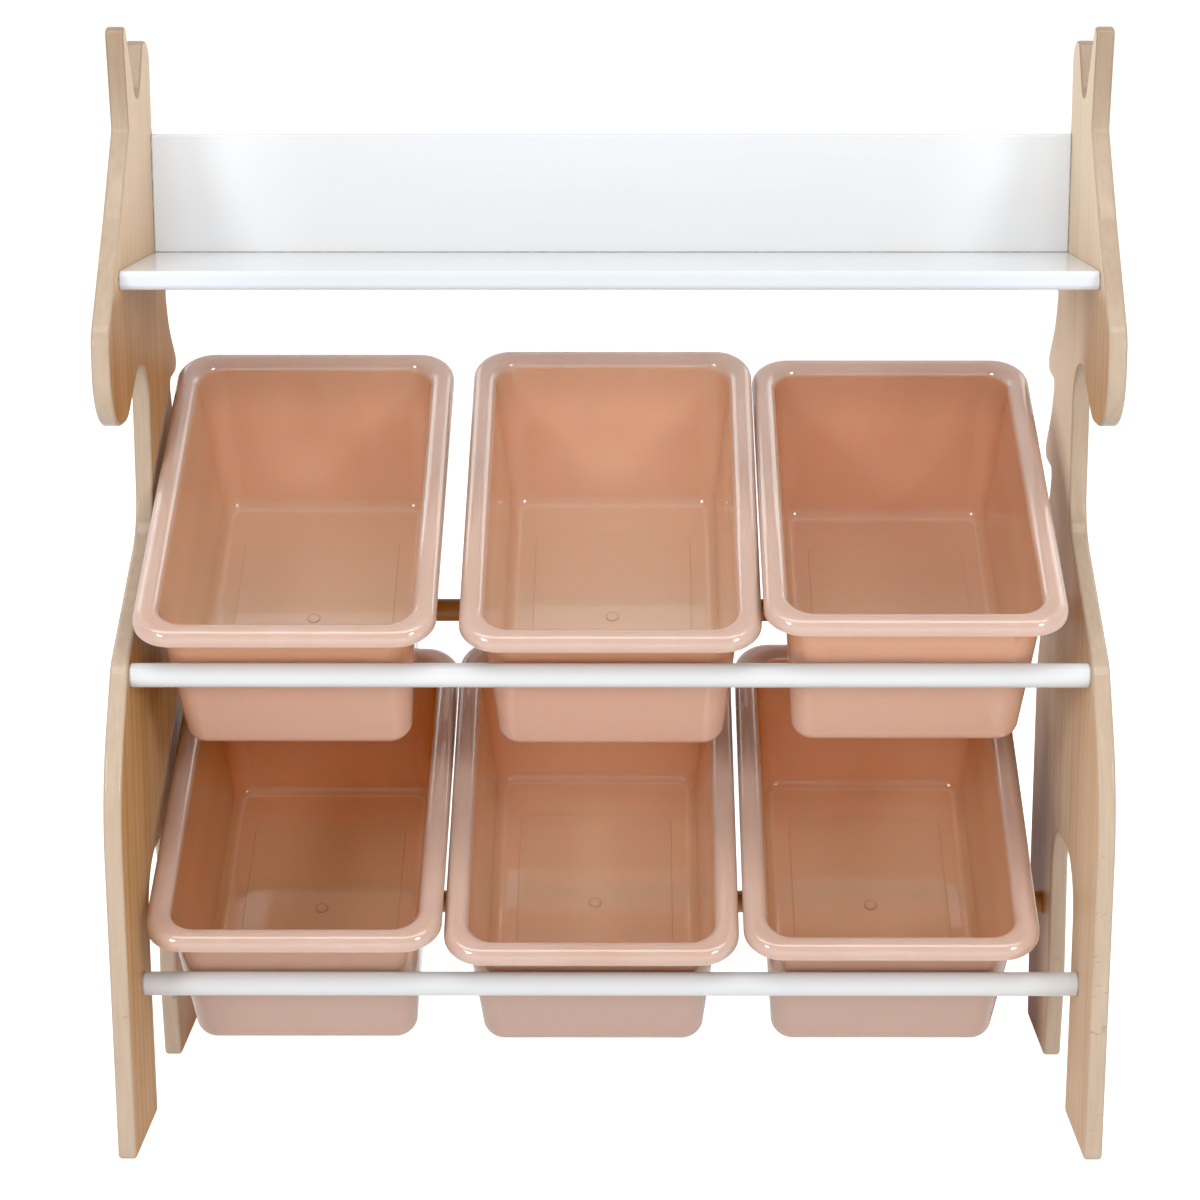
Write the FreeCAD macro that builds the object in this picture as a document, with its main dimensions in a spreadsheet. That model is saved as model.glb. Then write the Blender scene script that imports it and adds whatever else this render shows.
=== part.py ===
import FreeCAD, Part
import math
import os
import Sketcher

# Free-standing children's toy shelf: two animal-shaped plywood sides (long neck,
# two ears, scalloped mane, four legs), one white shelf with an upstand board
# behind it, two pairs of round cross rails, and six loose plastic bins that lean
# back on the rails.  Frame: X across, Y front (-) to back (+), Z up, millimetres.
# Origin: on the floor, in the middle of the overall box.

V = FreeCAD.Vector
doc = FreeCAD.newDocument("shelf_unit")
sheet = doc.addObject("Spreadsheet::Sheet", "dimensions")
sheet.Label = "dimensions"
row = [0]


def dim(alias, value, note=""):
    row[0] += 1
    cell = "B%d" % row[0]
    sheet.set("A%d" % row[0], alias)
    sheet.set(cell, repr(float(value)))
    sheet.setAlias(cell, alias)
    if note:
        sheet.set("C%d" % row[0], note)


# overall
dim("unit_width", 650.0, "outside of one side to outside of the other")
dim("depth_centre", 150.54, "distance from the drawing's zero line back to the middle of the box")
# sides
dim("panel_thickness", 12.0)
dim("panel_edge_radius", 2.2, "rounding of the outline on both faces")
# shelf and upstand
dim("shelf_front", 48.0)
dim("shelf_back", 200.5)
dim("shelf_top", 581.3)
dim("shelf_thickness", 12.0)
dim("shelf_nose_radius", 4.0)
dim("board_front", 188.5)
dim("board_top", 661.3)
dim("board_edge_radius", 2.0)
# rails
dim("rail_diameter", 16.0)
dim("rail_socket_depth", 5.0)
dim("rail_socket_clearance", 0.1, "radial")
dim("upper_front_rail_y", 39.9)
dim("upper_front_rail_z", 319.1)
dim("upper_rear_rail_y", 225.4)
dim("upper_rear_rail_z", 322.9)
dim("lower_front_rail_y", 47.9)
dim("lower_front_rail_z", 104.5)
dim("lower_rear_rail_y", 226.4)
dim("lower_rear_rail_z", 104.5)
# screws and dowels
dim("screw_diameter", 4.0)
dim("screw_head_diameter", 7.4)
dim("screw_length", 40.0)
dim("screw_head_recess", 0.2, "head sits this far under the surface")
dim("hole_clearance", 0.1, "radial, screws and dowels")
dim("sink_size", 1.9, "countersink chamfer")
dim("drive_slot_width", 0.9)
dim("drive_slot_length", 4.2)
dim("drive_slot_depth", 1.3)
dim("dowel_diameter", 6.0)
dim("dowel_length", 24.0)
dim("dowel_in_panel", 7.0)
dim("dowel_chamfer", 0.8)
dim("shelf_screw_y_front", 96.0)
dim("shelf_screw_y_back", 152.0)
dim("shelf_dowel_y_front", 66.0)
dim("shelf_dowel_y_back", 178.0)
dim("board_screw_z", 621.5)
dim("board_dowel_z_low", 600.5)
dim("board_dowel_z_high", 643.5)
dim("board_shelf_screw_x", 210.0, "spacing of the three screws through the board into the shelf")
# bins
dim("bin_width", 197.0, "over the rim")
dim("bin_length", 298.7, "over the rim")
dim("bin_rim_corner", 26.0)
dim("bin_rim_height", 9.3)
dim("bin_rim_round", 7.0)
dim("bin_under_round", 4.8)
dim("bin_wall", 2.2)
dim("bin_depth", 126.4, "rim top to underside of the floor")
dim("bin_overhang", 13.5, "rim edge to outside of the wall at the rim's level")
dim("bin_end_draft", 5.3, "degrees, front and back walls")
dim("bin_side_draft", 4.2, "degrees, side walls")
dim("bin_corner_top", 20.0)
dim("bin_corner_bottom", 15.0)
dim("bin_floor", 2.4)
dim("bin_foot_round", 11.0)
dim("bin_inside_round", 10.0)
dim("bin_mouth_round", 7.8, "turn from the wall into the rim, inside")
dim("bin_root_round", 5.6, "the same turn on the outside")
dim("bin_tray_width", 112.0, "raised panel moulded into the floor")
dim("bin_tray_length", 172.0)
dim("bin_tray_corner", 9.0)
dim("bin_tray_height", 0.6)
dim("bin_tray_edge", 0.45, "rounding of the raised panel's edge")
dim("bin_gate_diameter", 9.0, "round moulding mark in the middle of the floor")
dim("bin_gate_height", 0.5)
dim("bin_rail_gap", 0.3, "clearance kept between bin and rails")
BINS = (
    ("upper_left_bin", "upper", -211.0, 30.8),
    ("upper_middle_bin", "upper", 0.4, 32.2),
    ("upper_right_bin", "upper", 198.2, 27.9),
    ("lower_left_bin", "lower", -210.6, 28.2),
    ("lower_middle_bin", "lower", -12.6, 32.2),
    ("lower_right_bin", "lower", 187.3, 30.5),
)
for name, level, x, tilt in BINS:
    dim(name + "_x", x)
    dim(name + "_tilt", tilt, "degrees, front edge down")

# outline of a side, seen from the right: distance back from the zero line,
# height, corner radius.  Up the front, over the head, down the mane and back.
OUTLINE = (
    (-4.5, 0.0, 4.0),       # front foot, toe
    (-15.3, 251.5, 140.0),  # chest
    (32.7, 328.2, 30.0),    # shoulder
    (149.5, 398.7, 42.0),   # root of the neck
    (149.5, 537.7, 30.0),   # throat
    (66.0, 482.7, 30.0),    # jaw
    (7.5, 482.7, 38.0),     # chin
    (7.5, 543.7, 24.0),     # muzzle
    (65.0, 612.7, 80.0),    # forehead
    (106.5, 668.2, 5.0),    # front of the horn
    (96.5, 733.7, 6.0),     # horn top
    (107.5, 733.7, 5.0),
    (142.6, 675.0, 13.0),   # notch between horn and ear
    (170.5, 723.7, 6.0),    # ear top
    (196.5, 723.7, 16.0),
    (196.0, 663.7, 6.0),    # nape
    (216.0, 655.7, 16.0),
    (250.0, 620.7, 8.0),    # first mane tip
    (218.0, 615.7, 5.0),
    (228.0, 583.7, 60.0),
    (263.0, 555.7, 8.0),    # second mane tip
    (230.0, 551.7, 5.0),
    (241.0, 524.7, 60.0),
    (278.0, 491.2, 8.0),    # third mane tip
    (236.0, 486.2, 5.0),
    (246.0, 462.7, 60.0),
    (279.0, 427.2, 8.0),    # fourth mane tip
    (236.0, 422.7, 5.0),
    (245.0, 398.7, 60.0),
    (279.0, 363.7, 8.0),    # fifth mane tip
    (240.0, 358.7, 6.0),
    (256.0, 325.7, 40.0),   # rump
    (280.5, 271.7, 60.0),
    (284.5, 128.7, 300.0),  # back of the hind leg
    (275.0, 0.0, 4.0),
    (188.0, 0.0, 4.0),      # hind foot, front corner
    (177.0, 61.7, 120.0),
    (182.0, 179.7, 34.0),   # arch under the belly
    (76.0, 179.7, 38.0),
    (78.5, 87.7, 160.0),
    (83.0, 0.0, 4.0),       # front foot, heel
)
for i, (y, z, r) in enumerate(OUTLINE):
    dim("outline_y_%02d" % i, y)
    dim("outline_z_%02d" % i, z)
    dim("outline_radius_%02d" % i, r)
doc.recompute()


def val(alias):
    return float(sheet.get(alias))


def ref(text):
    return text.replace("$", "dimensions.")


YC = val("depth_centre")
T = val("panel_thickness")
HALF = val("unit_width") / 2.0
INNER = HALF - T
COINC = "Coincident"


def plane(body, role):
    for f in body.Origin.OriginFeatures:
        if f.Role == role:
            return f
    raise RuntimeError(role)


def new_sketch(body, name, role, lift=None):
    sk = body.newObject("Sketcher::SketchObject", name)
    sk.AttachmentSupport = [(plane(body, role), "")]
    sk.MapMode = "FlatFace"
    if lift is not None:
        if isinstance(lift, str):
            sk.setExpression("AttachmentOffset.Base.z", ref(lift))
        else:
            sk.AttachmentOffset = FreeCAD.Placement(V(0, 0, lift), FreeCAD.Rotation())
    return sk


def close_chain(sk, first, count):
    # joins each element's end to the next one's start; an arc that runs clockwise
    # along the chain has its end points the other way round
    for k in range(count):
        a = first + k
        b = first + (k + 1) % count
        pa, pb = min(((i, j) for i in (1, 2) for j in (1, 2)),
                     key=lambda ij: (sk.getPoint(a, ij[0]) - sk.getPoint(b, ij[1])).Length)
        sk.addConstraint(Sketcher.Constraint(COINC, a, pa, b, pb))


def add_circle(sk, x, y, radius_expr, x_expr=None, y_expr=None):
    g = sk.addGeometry(Part.Circle(V(x, y, 0), V(0, 0, 1), 1.0), False)
    c = sk.addConstraint(Sketcher.Constraint("Radius", g, 1.0))
    sk.setExpression("Constraints[%d]" % c, ref(radius_expr))
    c = sk.addConstraint(Sketcher.Constraint("DistanceX", -1, 1, g, 3, x))
    if x_expr:
        sk.setExpression("Constraints[%d]" % c, ref(x_expr))
    c = sk.addConstraint(Sketcher.Constraint("DistanceY", -1, 1, g, 3, y))
    if y_expr:
        sk.setExpression("Constraints[%d]" % c, ref(y_expr))
    return g


def add_rect(sk, x0, y0, x1, y1, names):
    # a rectangle whose four limits are bound to the sheet
    p = [V(x0, y0, 0), V(x1, y0, 0), V(x1, y1, 0), V(x0, y1, 0)]
    first = sk.GeometryCount
    for k in range(4):
        sk.addGeometry(Part.LineSegment(p[k], p[(k + 1) % 4]), False)
    close_chain(sk, first, 4)
    sk.addConstraint(Sketcher.Constraint("Horizontal", first))
    sk.addConstraint(Sketcher.Constraint("Vertical", first + 1))
    sk.addConstraint(Sketcher.Constraint("Horizontal", first + 2))
    sk.addConstraint(Sketcher.Constraint("Vertical", first + 3))
    for kind, vertex, value, expr in (
        ("DistanceX", (first, 1), x0, names[0]),
        ("DistanceY", (first, 1), y0, names[1]),
        ("DistanceX", (first + 1, 2), x1, names[2]),
        ("DistanceY", (first + 1, 2), y1, names[3]),
    ):
        c = sk.addConstraint(Sketcher.Constraint(kind, -1, 1, vertex[0], vertex[1], value))
        sk.setExpression("Constraints[%d]" % c, ref(expr))


def add_round_rect(sk, cx, cy, w, l, r, w_expr, l_expr, r_expr, cy_expr):
    # rounded rectangle centred on (cx, cy): four lines and four arcs, size bound
    hw, hl = w / 2.0, l / 2.0
    first = sk.GeometryCount
    seg = (
        Part.LineSegment(V(cx - hw + r, cy - hl, 0), V(cx + hw - r, cy - hl, 0)),
        Part.ArcOfCircle(Part.Circle(V(cx + hw - r, cy - hl + r, 0), V(0, 0, 1), r), -math.pi / 2, 0),
        Part.LineSegment(V(cx + hw, cy - hl + r, 0), V(cx + hw, cy + hl - r, 0)),
        Part.ArcOfCircle(Part.Circle(V(cx + hw - r, cy + hl - r, 0), V(0, 0, 1), r), 0, math.pi / 2),
        Part.LineSegment(V(cx + hw - r, cy + hl, 0), V(cx - hw + r, cy + hl, 0)),
        Part.ArcOfCircle(Part.Circle(V(cx - hw + r, cy + hl - r, 0), V(0, 0, 1), r), math.pi / 2, math.pi),
        Part.LineSegment(V(cx - hw, cy + hl - r, 0), V(cx - hw, cy - hl + r, 0)),
        Part.ArcOfCircle(Part.Circle(V(cx - hw + r, cy - hl + r, 0), V(0, 0, 1), r), math.pi, 1.5 * math.pi),
    )
    for s in seg:
        sk.addGeometry(s, False)
    for k in range(8):
        sk.addConstraint(Sketcher.Constraint("Tangent", first + k, 2, first + (k + 1) % 8, 1))
    sk.addConstraint(Sketcher.Constraint("Horizontal", first))
    sk.addConstraint(Sketcher.Constraint("Vertical", first + 2))
    sk.addConstraint(Sketcher.Constraint("Equal", first + 1, first + 3))
    sk.addConstraint(Sketcher.Constraint("Equal", first + 3, first + 5))
    sk.addConstraint(Sketcher.Constraint("Equal", first + 5, first + 7))
    for kind, a, b, value, expr in (
        ("DistanceX", (first + 6, 1), (first + 2, 2), w, w_expr),
        ("DistanceY", (first, 1), (first + 4, 2), l, l_expr),
        ("DistanceX", (-1, 1), (first + 2, 1), cx + hw, "(" + w_expr + ")/2"),
        ("DistanceY", (-1, 1), (first, 1), cy - hl, cy_expr + "-(" + l_expr + ")/2"),
    ):
        c = sk.addConstraint(Sketcher.Constraint(kind, a[0], a[1], b[0], b[1], value))
        sk.setExpression("Constraints[%d]" % c, ref(expr))
    c = sk.addConstraint(Sketcher.Constraint("Radius", first + 1, r))
    sk.setExpression("Constraints[%d]" % c, ref(r_expr))


def pad(body, name, sk, length_expr, reverse=False):
    f = body.newObject("PartDesign::Pad", name)
    f.Profile = sk
    f.setExpression("Length", ref(length_expr))
    f.Reversed = reverse
    sk.Visibility = False
    doc.recompute()
    return f


def pocket(body, name, sk, length_expr, reverse=False):
    before = body.Shape.Volume
    f = body.newObject("PartDesign::Pocket", name)
    f.Profile = sk
    f.setExpression("Length", ref(length_expr))
    f.Reversed = reverse
    doc.recompute()
    if not body.Shape.Volume < before - 1e-3:
        raise RuntimeError("pocket %s cut nothing" % f.Name)
    return f


def dress(body, kind, name, base, edges, expr):
    if not edges:
        raise RuntimeError("no edges for " + name)
    f = body.newObject("PartDesign::" + kind, name)
    f.Base = (base, edges)
    f.setExpression("Radius" if kind == "Fillet" else "Size", ref(expr))
    doc.recompute()
    return f


def edge_names(feature, test):
    return ["Edge%d" % (i + 1) for i, e in enumerate(feature.Shape.Edges) if test(e)]


def near(a, b, tol=1e-4):
    return abs(a - b) < tol


# ---------------------------------------------------------------- sides
def rounded_outline():
    pts = []
    n = len(OUTLINE)
    for i in range(n):
        pts.append((V(val("outline_y_%02d" % i) - YC, val("outline_z_%02d" % i), 0),
                    val("outline_radius_%02d" % i)))
    corners = []
    for i in range(n):
        p, r = pts[i]
        a = (pts[i - 1][0] - p)
        b = (pts[(i + 1) % n][0] - p)
        la, lb = a.Length, b.Length
        a.normalize()
        b.normalize()
        ang = math.acos(max(-1.0, min(1.0, a.dot(b))))
        cut = r / math.tan(ang / 2.0)
        bis = a + b
        bis.normalize()
        centre = p + bis * (r / math.sin(ang / 2.0))
        corners.append((p + a * cut, centre, p + b * cut, p + bis * (r / math.sin(ang / 2.0) - r), cut, la, lb))
    geo = []
    for i in range(n):
        start, centre, end, mid, cut, la, lb = corners[i]
        nxt = corners[(i + 1) % n]
        if cut + nxt[4] > lb + 1e-6:
            raise RuntimeError("outline corner %d: %.2f + %.2f > %.2f" % (i, cut, nxt[4], lb))
        geo.append(Part.Arc(start, mid, end))
        if (nxt[0] - end).Length > 1e-3:
            geo.append(Part.LineSegment(end, nxt[0]))
    return geo


# screw and dowel places on a side: (y, z)
RAILS = (
    ("upper_front_rail", "upper_front_rail_y", "upper_front_rail_z"),
    ("lower_front_rail", "lower_front_rail_y", "lower_front_rail_z"),
    ("upper_rear_rail", "upper_rear_rail_y", "upper_rear_rail_z"),
    ("lower_rear_rail", "lower_rear_rail_y", "lower_rear_rail_z"),
)
SHELF_MID = "($shelf_top-$shelf_thickness/2)"
BOARD_MID = "(($board_front+$shelf_back)/2)"
SCREWS = [("$" + y, "$" + z) for _, y, z in RAILS] + [
    ("$shelf_screw_y_front", SHELF_MID),
    ("$shelf_screw_y_back", SHELF_MID),
    (BOARD_MID, "$board_screw_z"),
]
DOWELS = [
    ("$shelf_dowel_y_front", SHELF_MID),
    ("$shelf_dowel_y_back", SHELF_MID),
    (BOARD_MID, "$board_dowel_z_low"),
    (BOARD_MID, "$board_dowel_z_high"),
]


def number(expr):
    # value of one of the place formulas above
    shelf_mid = val("shelf_top") - val("shelf_thickness") / 2.0
    board_mid = (val("board_front") + val("shelf_back")) / 2.0
    if expr == SHELF_MID:
        return shelf_mid
    if expr == BOARD_MID:
        return board_mid
    return val(expr[1:])


def places(sk, pairs, radius_expr):
    for y, z in pairs:
        add_circle(sk, number(y) - YC, number(z), radius_expr, y + "-$depth_centre", z)


def make_side(name, left):
    body = doc.addObject("PartDesign::Body", name)
    body.Label = name
    sk = new_sketch(body, name + "_outline", "YZ_Plane")
    geo = rounded_outline()
    sk.addGeometry(geo, False)
    close_chain(sk, 0, len(geo))
    blank = pad(body, name + "_blank", sk, "$panel_thickness")
    flat = edge_names(blank, lambda e: near(e.BoundBox.XMin, e.BoundBox.XMax))
    dress(body, "Fillet", name + "_edge", blank, flat, "$panel_edge_radius")
    inner_lift = "$panel_thickness" if left else 0.0
    # sockets for the rails and dowels, from the inner face
    s = new_sketch(body, name + "_sockets", "YZ_Plane", inner_lift)
    places(s, SCREWS[:4], "$rail_diameter/2+$rail_socket_clearance")
    pocket(body, name + "_rail_sockets", s, "$rail_socket_depth", reverse=not left)
    s = new_sketch(body, name + "_dowels", "YZ_Plane", inner_lift)
    places(s, DOWELS, "$dowel_diameter/2+$hole_clearance")
    pocket(body, name + "_dowel_holes", s, "$dowel_in_panel+0.5", reverse=not left)
    # screw holes right through, countersunk on the outer face
    s = new_sketch(body, name + "_screws", "YZ_Plane", inner_lift)
    places(s, SCREWS, "$screw_diameter/2+$hole_clearance")
    holes = pocket(body, name + "_screw_holes", s, "$panel_thickness", reverse=not left)
    outer = 0.0 if left else T
    hole_r = val("screw_diameter") / 2.0 + val("hole_clearance")
    rims = edge_names(holes, lambda e: isinstance(e.Curve, Part.Circle)
                      and near(e.Curve.Radius, hole_r) and near(e.Curve.Center.x, outer))
    if len(rims) != len(SCREWS):
        raise RuntimeError("%s: %d countersinks" % (name, len(rims)))
    dress(body, "Chamfer", name + "_sinks", holes, rims, "$sink_size")
    body.setExpression("Placement.Base.x", ref("-$unit_width/2" if left else "$unit_width/2-$panel_thickness"))
    doc.recompute()
    return body


NODES = []
NODES.append(make_side("left_side_panel", True))
NODES.append(make_side("right_side_panel", False))


# ---------------------------------------------------------------- rails
def pilot_holes(body, name, pairs, radius_expr, depth_expr, half_expr, half):
    # blind holes in both ends of a cross piece
    for end, lift, rev in (("left", "-(" + half_expr + ")", True), ("right", half_expr, False)):
        s = new_sketch(body, "%s_%s_%s" % (body.Name, end, name), "YZ_Plane", lift)
        for y, z, ye, ze in pairs:
            add_circle(s, y, z, radius_expr, ye, ze)
        pocket(body, "%s_%s_%s_holes" % (body.Name, end, name), s, depth_expr, reverse=rev)


for name, ya, za in RAILS:
    body = doc.addObject("PartDesign::Body", name)
    body.Label = name
    half = "$unit_width/2-$panel_thickness+$rail_socket_depth"
    sk = new_sketch(body, name + "_section", "YZ_Plane", "-(" + half + ")")
    add_circle(sk, 0.0, 0.0, "$rail_diameter/2")
    pad(body, name + "_bar", sk, "2*(" + half + ")")
    pilot_holes(body, "pilot", [(0.0, 0.0, None, None)], "$screw_diameter/2+$hole_clearance",
                "$screw_length+1", half, INNER)
    body.setExpression("Placement.Base.y", ref("$%s-$depth_centre" % ya))
    body.setExpression("Placement.Base.z", ref("$" + za))
    doc.recompute()
    NODES.append(body)

# ---------------------------------------------------------------- shelf
SPAN = "$unit_width/2-$panel_thickness"
body = doc.addObject("PartDesign::Body", "top_shelf")
body.Label = "top_shelf"
sk = new_sketch(body, "top_shelf_section", "YZ_Plane", "-(" + SPAN + ")")
add_rect(sk, val("shelf_front") - YC, val("shelf_top") - val("shelf_thickness"), val("board_front") - YC, val("shelf_top"),
         ("$shelf_front-$depth_centre", "$shelf_top-$shelf_thickness", "$board_front-$depth_centre", "$shelf_top"))
board = pad(body, "top_shelf_board", sk, "2*(" + SPAN + ")")
front = val("shelf_front") - YC
nose = edge_names(board, lambda e: near(e.BoundBox.YMin, front) and near(e.BoundBox.YMax, front) and e.Length > 100)
dress(body, "Fillet", "top_shelf_nose", board, nose, "$shelf_nose_radius")
ends = [(number(y) - YC, number(z), y + "-$depth_centre", z) for y, z in SCREWS[4:6]]
pilot_holes(body, "pilot", ends, "$screw_diameter/2+$hole_clearance", "$screw_length-$panel_thickness+1", SPAN, INNER)
ends = [(number(y) - YC, number(z), y + "-$depth_centre", z) for y, z in DOWELS[:2]]
pilot_holes(body, "dowel", ends, "$dowel_diameter/2+$hole_clearance", "$dowel_length-$dowel_in_panel+0.5", SPAN, INNER)
# three pilot holes in the rear edge, for the screws through the upstand
s = new_sketch(body, "top_shelf_rear", "XZ_Plane", "-($board_front-$depth_centre)")
for k in (-1, 0, 1):
    add_circle(s, k * val("board_shelf_screw_x"), number(SHELF_MID), "$screw_diameter/2+$hole_clearance",
               "%d*$board_shelf_screw_x" % k, SHELF_MID)
pocket(body, "top_shelf_screw_holes", s, "$screw_length-($shelf_back-$board_front)+1", reverse=True)
NODES.append(body)

# ---------------------------------------------------------------- upstand board
body = doc.addObject("PartDesign::Body", "shelf_back_board")
body.Label = "shelf_back_board"
sk = new_sketch(body, "back_board_section", "YZ_Plane", "-(" + SPAN + ")")
add_rect(sk, val("board_front") - YC, val("shelf_top") - val("shelf_thickness"), val("shelf_back") - YC, val("board_top"),
         ("$board_front-$depth_centre", "$shelf_top-$shelf_thickness", "$shelf_back-$depth_centre", "$board_top"))
board = pad(body, "back_board_blank", sk, "2*(" + SPAN + ")")
top = val("board_top")
rim = edge_names(board, lambda e: near(e.BoundBox.ZMin, top) and near(e.BoundBox.ZMax, top) and e.Length > 100)
dress(body, "Fillet", "back_board_edge", board, rim, "$board_edge_radius")
ends = [(number(y) - YC, number(z), y + "-$depth_centre", z) for y, z in SCREWS[6:]]
pilot_holes(body, "pilot", ends, "$screw_diameter/2+$hole_clearance", "$screw_length-$panel_thickness+1", SPAN, INNER)
ends = [(number(y) - YC, number(z), y + "-$depth_centre", z) for y, z in DOWELS[2:]]
pilot_holes(body, "dowel", ends, "$dowel_diameter/2+$hole_clearance", "$dowel_length-$dowel_in_panel+0.5", SPAN, INNER)
# three countersunk holes from behind, into the shelf's rear edge
s = new_sketch(body, "back_board_rear", "XZ_Plane", "-($shelf_back-$depth_centre)")
for k in (-1, 0, 1):
    add_circle(s, k * val("board_shelf_screw_x"), number(SHELF_MID), "$screw_diameter/2+$hole_clearance",
               "%d*$board_shelf_screw_x" % k, SHELF_MID)
holes = pocket(body, "back_board_screw_holes", s, "$shelf_back-$board_front", reverse=True)
back = val("shelf_back") - YC
rims = edge_names(holes, lambda e: isinstance(e.Curve, Part.Circle) and near(e.Curve.Center.y, back)
                  and near(e.Curve.Radius, val("screw_diameter") / 2.0 + val("hole_clearance")))
if len(rims) != 3:
    raise RuntimeError("upstand: %d countersinks" % len(rims))
dress(body, "Chamfer", "back_board_sinks", holes, rims, "$sink_size")
NODES.append(body)


# ---------------------------------------------------------------- bins
def make_bin(name, level, x, tilt):
    body = doc.addObject("PartDesign::Body", name)
    body.Label = name
    W, L = val("bin_width"), val("bin_length")
    wall, depth = val("bin_wall"), val("bin_depth")
    slope = math.tan(math.radians(val("bin_end_draft")))
    lean = math.tan(math.radians(val("bin_side_draft")))
    end_slope, side_slope = "tan($bin_end_draft*1deg)", "tan($bin_side_draft*1deg)"
    mid = "$bin_length/2"

    def rr(sk, inset, inset_expr, r, r_expr, down=0.0, down_expr="0"):
        # outline set in from the rim's edge, tapering with the depth below the rim
        add_round_rect(sk, 0.0, L / 2.0, W - 2 * (inset + down * lean), L - 2 * (inset + down * slope), r,
                       "$bin_width-2*(%s+(%s)*%s)" % (inset_expr, down_expr, side_slope),
                       "$bin_length-2*(%s+(%s)*%s)" % (inset_expr, down_expr, end_slope), r_expr, mid)

    # rolled rim: a plate with its edge turned down
    sk = new_sketch(body, name + "_rim_outline", "XY_Plane")
    rr(sk, 0.0, "0", val("bin_rim_corner"), "$bin_rim_corner")
    rim = pad(body, name + "_rim", sk, "$bin_rim_height", reverse=True)
    top_edges = edge_names(rim, lambda e: near(e.BoundBox.ZMin, 0) and near(e.BoundBox.ZMax, 0))
    dress(body, "Fillet", name + "_rim_round", rim, top_edges, "$bin_rim_round")
    sk = new_sketch(body, name + "_under_outline", "XY_Plane", "-$bin_rim_height")
    rr(sk, wall, "$bin_wall", val("bin_rim_corner") - wall, "$bin_rim_corner-$bin_wall")
    under = pocket(body, name + "_under", sk, "$bin_rim_height-$bin_wall", reverse=True)
    inside = edge_names(under, lambda e: near(e.BoundBox.ZMin, -wall) and near(e.BoundBox.ZMax, -wall))
    dress(body, "Fillet", name + "_under_round", under, inside, "$bin_under_round")
    # tapered tub
    s_top = new_sketch(body, name + "_tub_top", "XY_Plane")
    rr(s_top, val("bin_overhang"), "$bin_overhang", val("bin_corner_top"), "$bin_corner_top")
    s_low = new_sketch(body, name + "_tub_bottom", "XY_Plane", "-$bin_depth")
    rr(s_low, val("bin_overhang"), "$bin_overhang", val("bin_corner_bottom"), "$bin_corner_bottom", depth, "$bin_depth")
    doc.recompute()
    tub = body.newObject("PartDesign::AdditiveLoft", name + "_tub")
    tub.Profile = s_top
    tub.Sections = [s_low]
    tub.Ruled = True
    doc.recompute()
    over = val("bin_overhang")
    root = edge_names(tub, lambda e: near(e.BoundBox.ZMin, -wall, 1e-3) and near(e.BoundBox.ZMax, -wall, 1e-3)
                      and e.BoundBox.XMin > over - W / 2.0 and e.BoundBox.XMax < W / 2.0 - over
                      and e.BoundBox.YMin > over - 0.01 and e.BoundBox.YMax < L - over + 0.01)
    dress(body, "Fillet", name + "_root_round", tub, root, "$bin_root_round")
    # hollow
    c_top = new_sketch(body, name + "_hollow_top", "XY_Plane")
    rr(c_top, val("bin_overhang") + wall, "$bin_overhang+$bin_wall", val("bin_corner_top") - wall, "$bin_corner_top-$bin_wall")
    floor = depth - val("bin_floor")
    c_low = new_sketch(body, name + "_hollow_bottom", "XY_Plane", "-($bin_depth-$bin_floor)")
    rr(c_low, val("bin_overhang") + wall, "$bin_overhang+$bin_wall", val("bin_corner_bottom") - wall,
       "$bin_corner_bottom-$bin_wall", floor, "$bin_depth-$bin_floor")
    doc.recompute()
    before = body.Shape.Volume
    hollow = body.newObject("PartDesign::SubtractiveLoft", name + "_hollow")
    hollow.Profile = c_top
    hollow.Sections = [c_low]
    hollow.Ruled = True
    doc.recompute()
    if not body.Shape.Volume < 0.5 * before:
        raise RuntimeError(name + " is not hollow")
    low_edges = edge_names(hollow, lambda e: near(e.BoundBox.ZMin, -floor, 1e-3) and near(e.BoundBox.ZMax, -floor, 1e-3))
    f = dress(body, "Fillet", name + "_inside_round", hollow, low_edges, "$bin_inside_round")
    foot = edge_names(f, lambda e: near(e.BoundBox.ZMin, -depth, 1e-3) and near(e.BoundBox.ZMax, -depth, 1e-3))
    f = dress(body, "Fillet", name + "_foot_round", f, foot, "$bin_foot_round")
    mouth_x = W / 2.0 - val("bin_overhang") - wall
    mouth = edge_names(f, lambda e: near(e.BoundBox.ZMin, 0) and near(e.BoundBox.ZMax, 0)
                       and e.BoundBox.XMax < mouth_x + 0.01 and e.BoundBox.XMin > -mouth_x - 0.01)
    f = dress(body, "Fillet", name + "_mouth_round", f, mouth, "$bin_mouth_round")
    # raised panel and round mark moulded in the floor
    sk = new_sketch(body, name + "_tray_outline", "XY_Plane", "-($bin_depth-$bin_floor)-0.2")
    add_round_rect(sk, 0.0, L / 2.0, val("bin_tray_width"), val("bin_tray_length"), val("bin_tray_corner"),
                   "$bin_tray_width", "$bin_tray_length", "$bin_tray_corner", mid)
    tray = pad(body, name + "_tray", sk, "$bin_tray_height+0.2")
    step = val("bin_tray_height") - floor
    soft = edge_names(tray, lambda e: near(e.BoundBox.ZMin, step, 1e-3) and near(e.BoundBox.ZMax, step, 1e-3))
    dress(body, "Fillet", name + "_tray_edge", tray, soft, "$bin_tray_edge")
    sk = new_sketch(body, name + "_gate_outline", "XY_Plane", "-($bin_depth-$bin_floor)-0.2")
    add_circle(sk, 0.0, L / 2.0, "$bin_gate_diameter/2", None, mid)
    pad(body, name + "_gate", sk, "$bin_tray_height+$bin_gate_height+0.2")

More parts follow.
